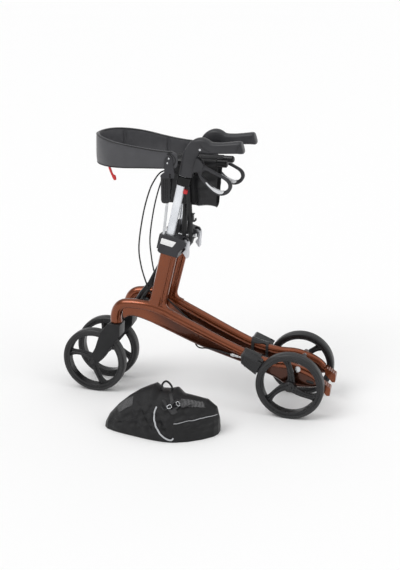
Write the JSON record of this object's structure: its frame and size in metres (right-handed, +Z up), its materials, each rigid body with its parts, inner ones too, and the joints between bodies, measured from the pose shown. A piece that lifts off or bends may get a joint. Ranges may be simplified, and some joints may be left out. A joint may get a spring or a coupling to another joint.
{
  "type": "rollator",
  "caption": "Four-wheeled walking aid folded narrow, with raked posts, sprung brake levers, crossed folding arms, a sling seat, a looped backrest and its bag set down beside it.",
  "frame": {"origin": "on the floor in the mid plane of the folded frame, halfway between the front and rear axles", "axes": "+X towards the user at the rear, +Y to the right-hand side frame, +Z up"},
  "size_m": [0.829, 0.4608, 0.8028],
  "materials": {
    "bag_fabric": "black woven bag cloth with mesh panels",
    "black_leather": "black coated upholstery cloth with piped edges",
    "black_plastic": "satin black moulded plastic",
    "black_steel": "black powder coat",
    "brushed_aluminium": "silver grey anodised tube",
    "cable_jacket": "black cable jacket",
    "copper_paint": "glossy metallic copper lacquer over a moulded composite shell",
    "gloss_black": "gloss black moulded plastic",
    "grey_plastic": "dark grey fine-grained moulded plastic",
    "grip_rubber": "dark grey soft-touch grip",
    "red_plastic": "red plastic",
    "seat_fabric": "black woven seat cloth",
    "tyre_rubber": "solid soft black tyre",
    "zinc_steel": "bright zinc-plated steel"
  },
  "bodies": {
    "left_side": {"side_frame_left": "copper_paint", "clamp_housing_left": "grey_plastic", "backrest_rod_left": "brushed_aluminium", "backrest_column_left": "black_plastic", "brace_bracket_left": "black_steel", "brake_cable_left": "cable_jacket", "cable_adjuster_left": "zinc_steel", "brake_cover_left": "grey_plastic", "frame_bolt_left": "zinc_steel", "tip_pedal_left": "copper_paint", "rear_axle_left": "zinc_steel", "backrest_bracket_left": "grey_plastic", "backrest_band": "black_leather", "pull_tab": "red_plastic"},
    "right_side": {"side_frame_right": "copper_paint", "clamp_housing_right": "grey_plastic", "backrest_rod_right": "brushed_aluminium", "backrest_column_right": "black_plastic", "brace_bracket_right": "black_steel", "brake_cable_right": "cable_jacket", "cable_adjuster_right": "zinc_steel", "brake_cover_right": "grey_plastic", "frame_bolt_right": "zinc_steel", "tip_pedal_right": "copper_paint", "rear_axle_right": "zinc_steel"},
    "backrest_end": {"backrest_bracket_right": "grey_plastic"},
    "front_brace_arm": {"brace_front": "black_steel", "cross_pin": "zinc_steel", "seat_rail_right": "black_steel", "seat_cloth": "seat_fabric"},
    "rear_brace_arm": {"brace_rear": "black_steel", "seat_rail_left": "black_steel", "fold_hook": "black_plastic"},
    "carried_bag": {"bag": "bag_fabric"},
    "left_handle": {"height_tube_left": "brushed_aluminium", "handle_left": "grip_rubber", "height_collar_left": "gloss_black"},
    "left_lever": {"brake_lever_left": "black_plastic"},
    "left_button": {"release_button_left": "red_plastic"},
    "left_clamp_lever": {"clamp_lever_left": "zinc_steel"},
    "left_shoe": {"brake_shoe_left": "black_plastic"},
    "left_caster": {"caster_fork_left": "grey_plastic", "front_axle_left": "zinc_steel"},
    "left_front_roller": {"front_tyre_left": "tyre_rubber", "front_wheel_left": "black_plastic"},
    "left_rear_roller": {"rear_tyre_left": "tyre_rubber", "rear_wheel_left": "black_plastic"},
    "right_handle": {"height_tube_right": "brushed_aluminium", "handle_right": "grip_rubber", "height_collar_right": "gloss_black"},
    "right_lever": {"brake_lever_right": "black_plastic"},
    "right_button": {"release_button_right": "red_plastic"},
    "right_clamp_lever": {"clamp_lever_right": "zinc_steel"},
    "right_shoe": {"brake_shoe_right": "black_plastic"},
    "right_caster": {"caster_fork_right": "grey_plastic", "front_axle_right": "zinc_steel"},
    "right_front_roller": {"front_tyre_right": "tyre_rubber", "front_wheel_right": "black_plastic"},
    "right_rear_roller": {"rear_tyre_right": "tyre_rubber", "rear_wheel_right": "black_plastic"}
  },
  "joints": [
    {"name": "fold", "type": "hinge", "parent": "left_side", "child": "front_brace_arm", "pos_m": [-0.178, -0.037, 0.276], "axis": [-1, 0, 0], "range_deg": [0, 45]},
    {"name": "brace_cross", "type": "hinge", "parent": "front_brace_arm", "child": "rear_brace_arm", "pos_m": [-0.0265, 0, 0.5005], "axis": [-1, 0, 0], "range_deg": [-90, 0], "deforming": ["seat_cloth"]},
    {"name": "right_foot", "type": "hinge", "parent": "rear_brace_arm", "child": "right_side", "pos_m": [-0.178, 0.037, 0.276], "axis": [-1, 0, 0], "range_deg": [0, 45]},
    {"name": "backrest_spread", "type": "slide", "parent": "left_side", "child": "backrest_end", "axis": [0, 1, 0], "range_m": [0, 0.29582], "deforming": ["backrest_band"]},
    {"name": "left_handle_height", "type": "slide", "parent": "left_side", "child": "left_handle", "axis": [0.2356, -0.0447, 0.9708], "range_m": [-0.09, 0.05], "deforming": ["brake_cable_left"]},
    {"name": "left_brake_lever_squeeze", "type": "hinge", "parent": "left_handle", "child": "left_lever", "pos_m": [0.0321, -0.07375, 0.7228], "axis": [0, -1, 0], "range_deg": [0, 15], "stiffness_Nm_per_rad": 3},
    {"name": "left_button_press", "type": "slide", "parent": "left_handle", "child": "left_button", "axis": [-0.9718, 0, 0.2358], "range_m": [0, 0.003], "stiffness_N_per_m": 600},
    {"name": "left_clamp_release", "type": "hinge", "parent": "left_side", "child": "left_clamp_lever", "pos_m": [-0.0184, -0.06294, 0.49284], "axis": [0, -1, 0], "range_deg": [0, 80]},
    {"name": "left_brake_press", "type": "hinge", "parent": "left_side", "child": "left_shoe", "pos_m": [0.21796, -0.089, 0.16039], "axis": [0, -1, 0], "range_deg": [0, 5.2]},
    {"name": "left_caster_swivel", "type": "hinge", "parent": "left_side", "child": "left_caster", "pos_m": [-0.2345, -0.058, 0.2305], "axis": [0, 0, 1], "range_deg": [-15, 195]},
    {"name": "left_front_wheel_spin", "type": "hinge", "parent": "left_caster", "child": "left_front_roller", "pos_m": [-0.3075, -0.058, 0.1], "axis": [0, 1, 0], "continuous": true},
    {"name": "left_rear_wheel_spin", "type": "hinge", "parent": "left_side", "child": "left_rear_roller", "pos_m": [0.3075, -0.09, 0.1], "axis": [0, 1, 0], "continuous": true},
    {"name": "right_handle_height", "type": "slide", "parent": "right_side", "child": "right_handle", "axis": [0.2356, 0.0447, 0.9708], "range_m": [-0.09, 0.05], "deforming": ["brake_cable_right"]},
    {"name": "right_brake_lever_squeeze", "type": "hinge", "parent": "right_handle", "child": "right_lever", "pos_m": [0.0321, 0.07375, 0.7228], "axis": [0, -1, 0], "range_deg": [0, 15], "stiffness_Nm_per_rad": 3},
    {"name": "right_button_press", "type": "slide", "parent": "right_handle", "child": "right_button", "axis": [-0.9718, 0, 0.2358], "range_m": [0, 0.003], "stiffness_N_per_m": 600},
    {"name": "right_clamp_release", "type": "hinge", "parent": "right_side", "child": "right_clamp_lever", "pos_m": [-0.0184, 0.06294, 0.49284], "axis": [0, -1, 0], "range_deg": [0, 80]},
    {"name": "right_brake_press", "type": "hinge", "parent": "right_side", "child": "right_shoe", "pos_m": [0.21796, 0.089, 0.16039], "axis": [0, -1, 0], "range_deg": [0, 5.2]},
    {"name": "right_caster_swivel", "type": "hinge", "parent": "right_side", "child": "right_caster", "pos_m": [-0.2345, 0.058, 0.2305], "axis": [0, 0, -1], "range_deg": [-15, 195]},
    {"name": "right_front_wheel_spin", "type": "hinge", "parent": "right_caster", "child": "right_front_roller", "pos_m": [-0.3075, 0.058, 0.1], "axis": [0, 1, 0], "continuous": true},
    {"name": "right_rear_wheel_spin", "type": "hinge", "parent": "right_side", "child": "right_rear_roller", "pos_m": [0.3075, 0.09, 0.1], "axis": [0, 1, 0], "continuous": true},
    {"name": "bag_lift", "type": "slide", "parent": "left_side", "child": "carried_bag", "axis": [0, 0, 1], "range_m": [0, 0.3]}
  ],
  "couplings": [
    {"joint": "brace_cross", "follows": "fold", "ratio": -2},
    {"joint": "right_foot", "follows": "fold", "ratio": 1},
    {"joint": "backrest_spread", "follows": "fold", "m_per_rad": 0.37665},
    {"joint": "left_brake_press", "follows": "left_brake_lever_squeeze", "ratio": 0.34},
    {"joint": "right_brake_press", "follows": "right_brake_lever_squeeze", "ratio": 0.34}
  ]
}
